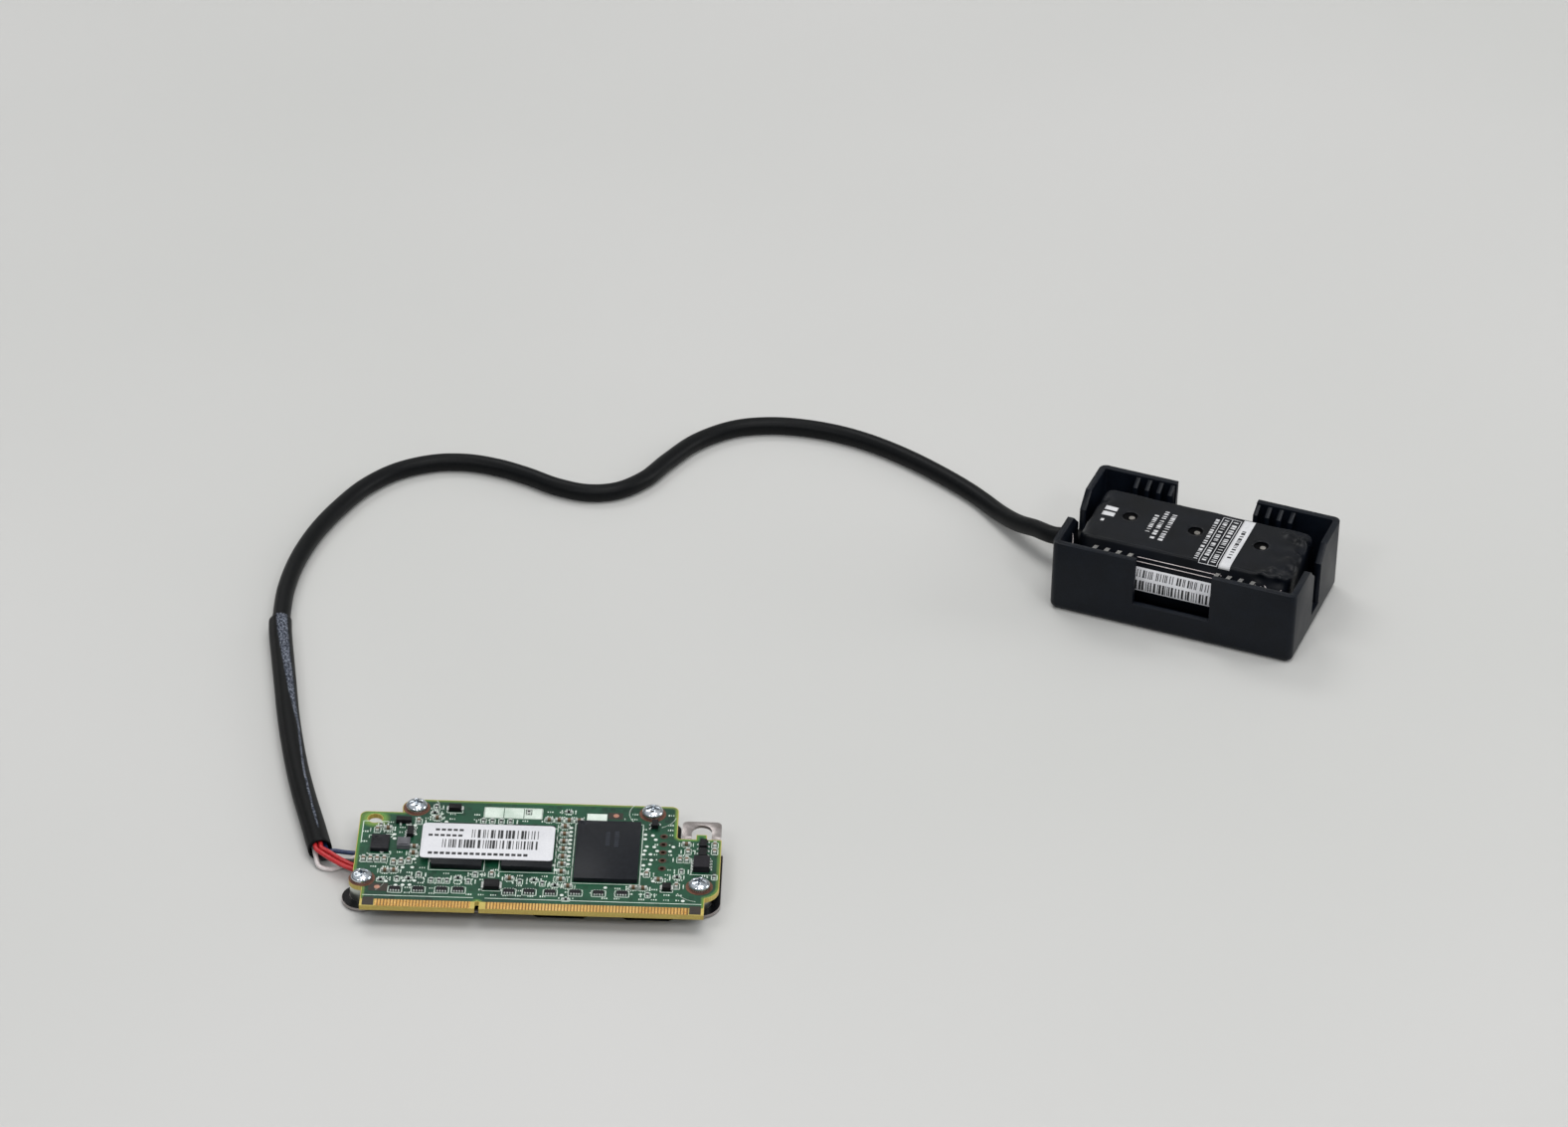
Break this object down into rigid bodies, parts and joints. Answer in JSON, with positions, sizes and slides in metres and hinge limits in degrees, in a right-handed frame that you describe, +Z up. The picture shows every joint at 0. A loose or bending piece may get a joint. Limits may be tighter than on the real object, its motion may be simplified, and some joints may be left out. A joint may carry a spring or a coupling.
{
  "type": "raid battery module",
  "caption": "Flash-backed cache memory module with an edge connector, wired by a round cable to a capacitor pack in an open tray.",
  "frame": {"origin": "middle of the memory module's underside film, on the surface that everything lies on", "axes": "+X along the module's edge connector, towards the fork tab; +Y from the connector edge to the module's back; +Z up"},
  "size_m": [0.2134, 0.1743, 0.016],
  "materials": {
    "solder_mask": "satin green solder mask over glass epoxy",
    "gold_plating": "gold plating",
    "bare_copper": "bare copper",
    "chip_mould": "moulded epoxy",
    "label_paper": "coated label",
    "ferrite": "ferrite",
    "resistor_glaze": "glazed",
    "ceramic": "fired ceramic",
    "zinc_steel": "bright zinc",
    "sheet_steel": "plain sheet",
    "black_film": "satin film",
    "nylon": "natural nylon",
    "wire_red": "insulation",
    "wire_white": "insulation",
    "wire_navy": "insulation",
    "wire_black": "insulation",
    "cable_jacket": "satin jacket",
    "tray_plastic": "satin moulding",
    "shrink_sleeve": "heat-shrunk film",
    "cell_can": "can"
  },
  "bodies": {
    "root": {"circuit_board": "solder_mask", "edge_contacts": "gold_plating", "screw_lands": "bare_copper", "flash_chip": "chip_mould", "memory_chips": "chip_mould", "board_label": "label_paper", "power_controller": "chip_mould", "transistors": "chip_mould", "power_inductor": "ferrite", "diodes": "chip_mould", "logic_chip": "chip_mould", "resistor_arrays": "resistor_glaze", "ceramic_capacitors": "ceramic", "chip_resistors": "resistor_glaze", "lower_memory_chips": "chip_mould", "board_screws": "zinc_steel", "standoffs": "zinc_steel", "base_plate": "sheet_steel", "plate_film": "black_film", "base_film": "black_film", "lead_socket": "nylon", "lead_plug": "nylon", "wire_red_a": "wire_red", "wire_red_b": "wire_red", "wire_white": "wire_white", "wire_navy": "wire_navy", "wire_black": "wire_black", "cable_sleeve": "cable_jacket", "cable": "cable_jacket", "holder_tray": "tray_plastic", "pack_sleeve": "shrink_sleeve", "capacitor_cells": "cell_can", "cell_board": "solder_mask", "cell_pads": "zinc_steel", "pack_label": "label_paper"}
  },
  "joints": []
}
